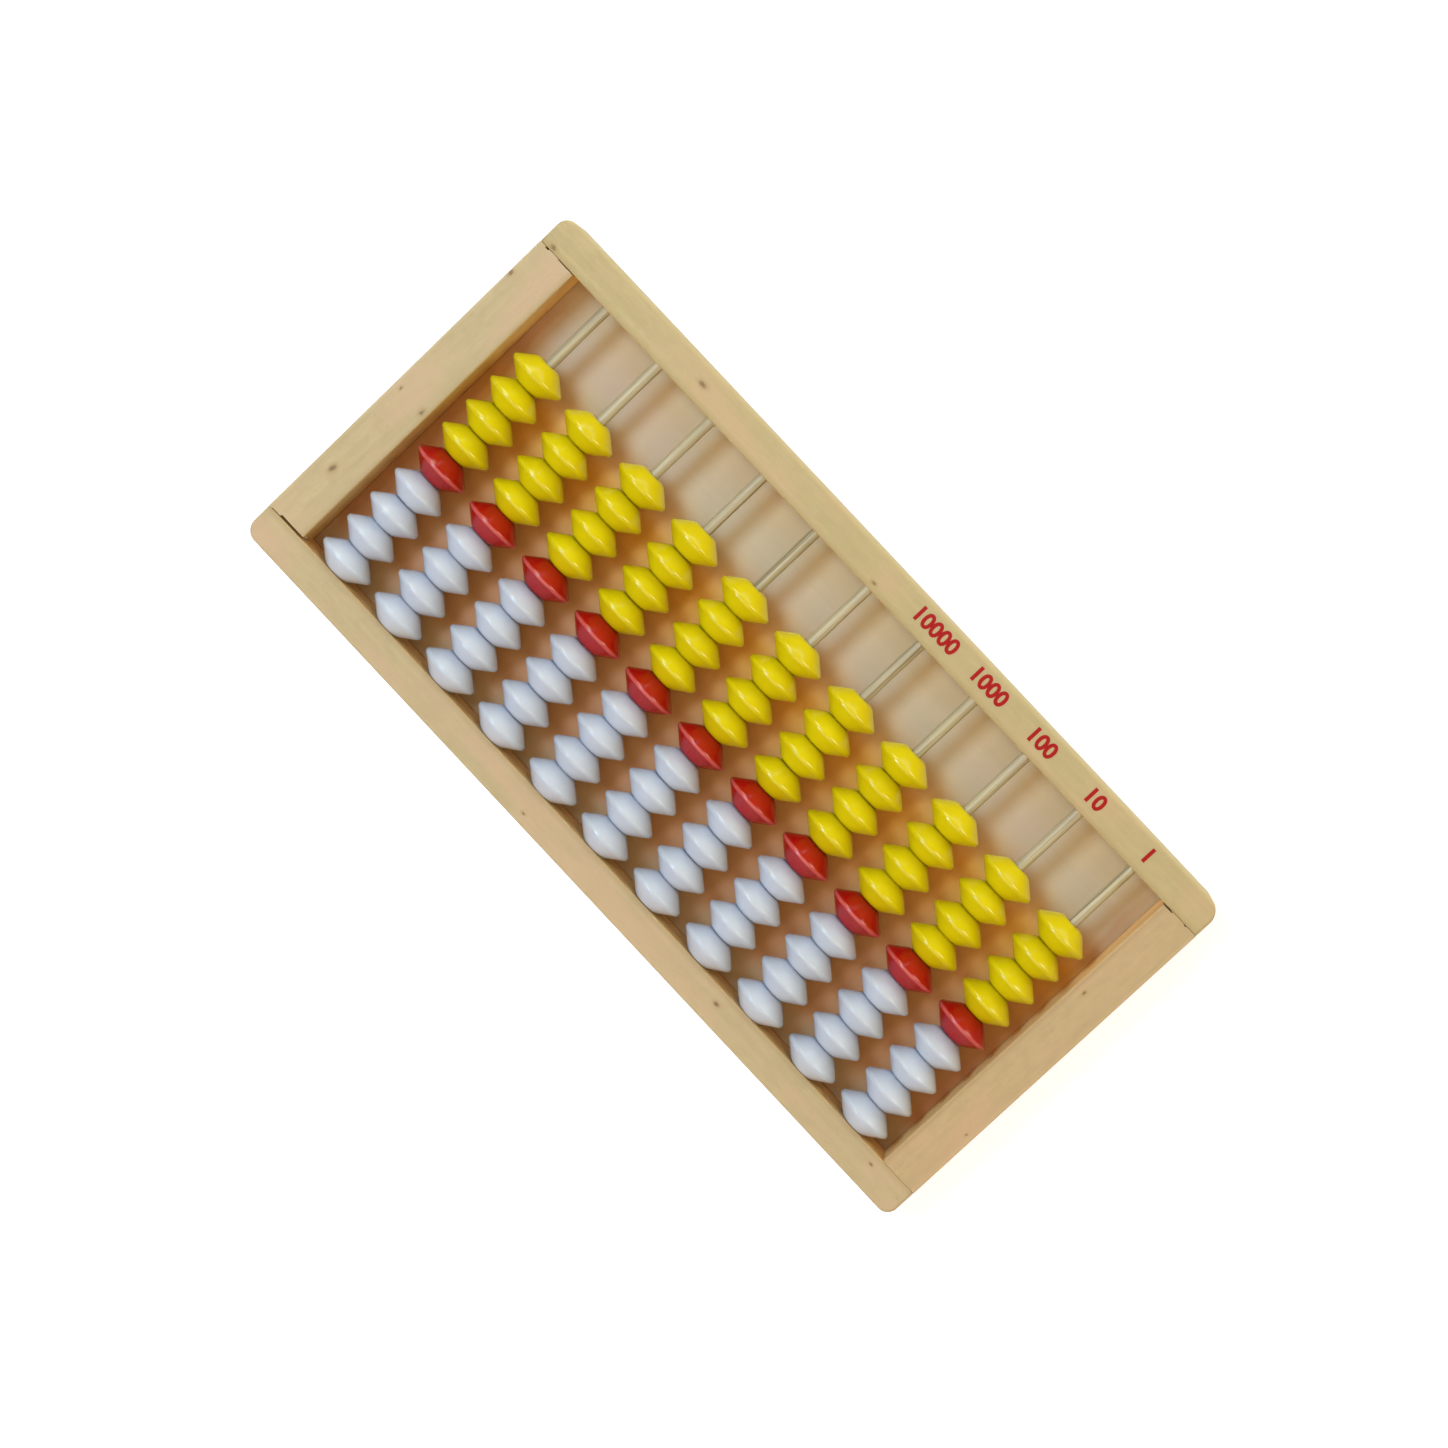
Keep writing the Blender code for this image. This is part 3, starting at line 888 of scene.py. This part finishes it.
def make_beads():
    """Ninety-nine beads, each riding with its group and sitting a little askew on its rod."""
    low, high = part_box("column_01_red_bead")
    radius = (high[0] - low[0]) / 2
    counts = {group: count for group, count, _ in GROUPS}
    yellow_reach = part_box("column_01_top_bead")[0][1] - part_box("column_01_yellow_beads")[0][1]
    pitch = yellow_reach / counts["yellow_beads"]
    outline = bead_outline(radius, pitch / 2 - HUB_PLAY)
    meshes = {}
    for colour, looks in BEAD_COLOURS.items():
        meshes[colour] = turned("bead_" + colour, outline, BEAD_SEGMENTS)
        meshes[colour].materials.append(plastic(colour + "_plastic", **looks))
    for index in range(COLUMNS):
        x, z, _ = rod_axis(index)
        slack = rng.uniform(0.0, COLUMN_SLACK)
        place = 0
        for group, count, colour in GROUPS:
            body = f"column_{index + 1:02d}_{group}"
            low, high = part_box(body)
            middle = (low[1] + high[1]) / 2
            for bead in range(count):
                place += 1
                y = middle + (bead - (count - 1) / 2) * pitch - slack * place / BEADS_ON_ROD
                piece = link(f"bead_{index + 1:02d}_{place}", meshes[colour], (x, y, z))
                lean_x = rng.uniform(-1, 1) * LARGEST_TILT
                lean_z = rng.uniform(-1, 1) * LARGEST_TILT
                piece.rotation_euler = (lean_x, rng.uniform(0, math.tau), lean_z)
                piece.rotation_mode = "YXZ"
                bpy.context.view_layer.update()
                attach(piece, body)
                if bead == 0:
                    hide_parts(body)


def make_numerals():
    """Printed place values on the top rail, one over each of the last five rods."""
    material = ink("red_ink")
    first = COLUMNS - len(PLACE_VALUES)
    y = (TOP_LOW[1] + TOP_HIGH[1]) / 2 + DIGITS_OFF_CENTRE
    for offset, digits in enumerate(PLACE_VALUES):
        curve = bpy.data.curves.new("place_value_" + digits, "FONT")
        curve.body = digits
        curve.size = DIGIT_HEIGHT / DIGIT_HEIGHT_IN_FONT
        curve.align_x = "CENTER"
        curve.align_y = "CENTER"
        curve.extrude = INK_THICKNESS / 2
        curve.offset = STROKE_GAIN
        curve.resolution_u = 6
        text = bpy.data.objects.new("text", curve)
        bpy.context.scene.collection.objects.link(text)
        evaluated = text.evaluated_get(bpy.context.evaluated_depsgraph_get())
        mesh = bpy.data.meshes.new_from_object(evaluated)
        bpy.data.objects.remove(text, do_unlink=True)
        mesh.materials.clear()
        mesh.materials.append(material)
        x = rod_axis(first + offset)[0]
        mark = link("place_value_" + digits, mesh, (x, y, RAIL_TOP + INK_THICKNESS / 2))
        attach(mark, "frame")


# --------------------------------------------------------------------- stage

def make_stage():
    """A floor bright enough to look white, five area lights and a warm sky."""
    bm = bmesh.new()
    bmesh.ops.create_grid(bm, x_segments=1, y_segments=1, size=FLOOR_REACH)
    mesh = bpy.data.meshes.new("floor")
    bm.to_mesh(mesh)
    bm.free()
    floor = link("floor", mesh, (0, 0, -FLOOR_GAP))
    material = bpy.data.materials.new("floor")
    material.use_nodes = True
    shader = material.node_tree.nodes["Principled BSDF"]
    shader.inputs["Base Color"].default_value = rgba((FLOOR_GREY,) * 3)
    shader.inputs["Roughness"].default_value = 0.9
    shader.inputs["Emission Color"].default_value = rgba(FLOOR_GLOW)
    shader.inputs["Emission Strength"].default_value = FLOOR_GLOW_STRENGTH
    floor.data.materials.append(material)

    bpy.context.scene.world = make_sky(rgba(HORIZON), rgba(ZENITH))
    for light in LIGHTS:
        add_light(*light)


def make_sky(horizon, zenith):
    """A world that brightens from the horizon to the zenith."""
    world = bpy.data.worlds.new("studio")
    world.use_nodes = True
    tree = world.node_tree
    direction = tree.nodes.new("ShaderNodeTexCoord")
    parts = tree.nodes.new("ShaderNodeSeparateXYZ")
    blend = tree.nodes.new("ShaderNodeMix")
    blend.data_type = "RGBA"
    rise = tree.nodes.new("ShaderNodeMath")
    rise.operation = "POWER"
    rise.inputs[1].default_value = SKY_CURVE
    height = tree.nodes.new("ShaderNodeClamp")
    tree.links.new(direction.outputs["Generated"], parts.inputs[0])
    tree.links.new(parts.outputs["Z"], height.inputs["Value"])
    tree.links.new(height.outputs[0], rise.inputs[0])
    tree.links.new(rise.outputs[0], blend.inputs["Factor"])
    blend.inputs[6].default_value = horizon
    blend.inputs[7].default_value = zenith
    tree.links.new(blend.outputs[2], tree.nodes["Background"].inputs["Color"])
    return world


def add_light(name, location, size, power, colour):
    """A rectangular area light that faces the object."""
    light = bpy.data.lights.new(name, "AREA")
    light.shape = "RECTANGLE"
    light.size, light.size_y = size
    light.energy = power
    light.color = colour
    obj = bpy.data.objects.new(name, light)
    obj.location = location
    obj.rotation_euler = (-Vector(location)).to_track_quat("-Z", "Y").to_euler()
    bpy.context.scene.collection.objects.link(obj)


def make_camera():
    """Looks down from over the top rail, with the rails turned clockwise in the picture."""
    location = Vector(CAMERA_LOCATION)
    aim = Vector((AIM_X, AIM_Y, RAIL_TOP))
    forward = (aim - location).normalized()
    upward = Vector((-math.sin(CAMERA_TURN), math.cos(CAMERA_TURN), 0))
    right = forward.cross(upward).normalized()
    up = right.cross(forward)
    rotation = Matrix((right, up, -forward)).transposed().to_4x4()
    camera = bpy.data.cameras.new("camera")
    camera.sensor_width = SENSOR_WIDTH
    camera.lens = FOCAL_LENGTH
    obj = bpy.data.objects.new("camera", camera)
    obj.matrix_world = Matrix.Translation(location) @ rotation
    bpy.context.scene.collection.objects.link(obj)
    bpy.context.scene.camera = obj
    bpy.context.scene.view_settings.view_transform = "Standard"


make_frame()
make_rods()
make_beads()
make_numerals()
make_stage()
make_camera()
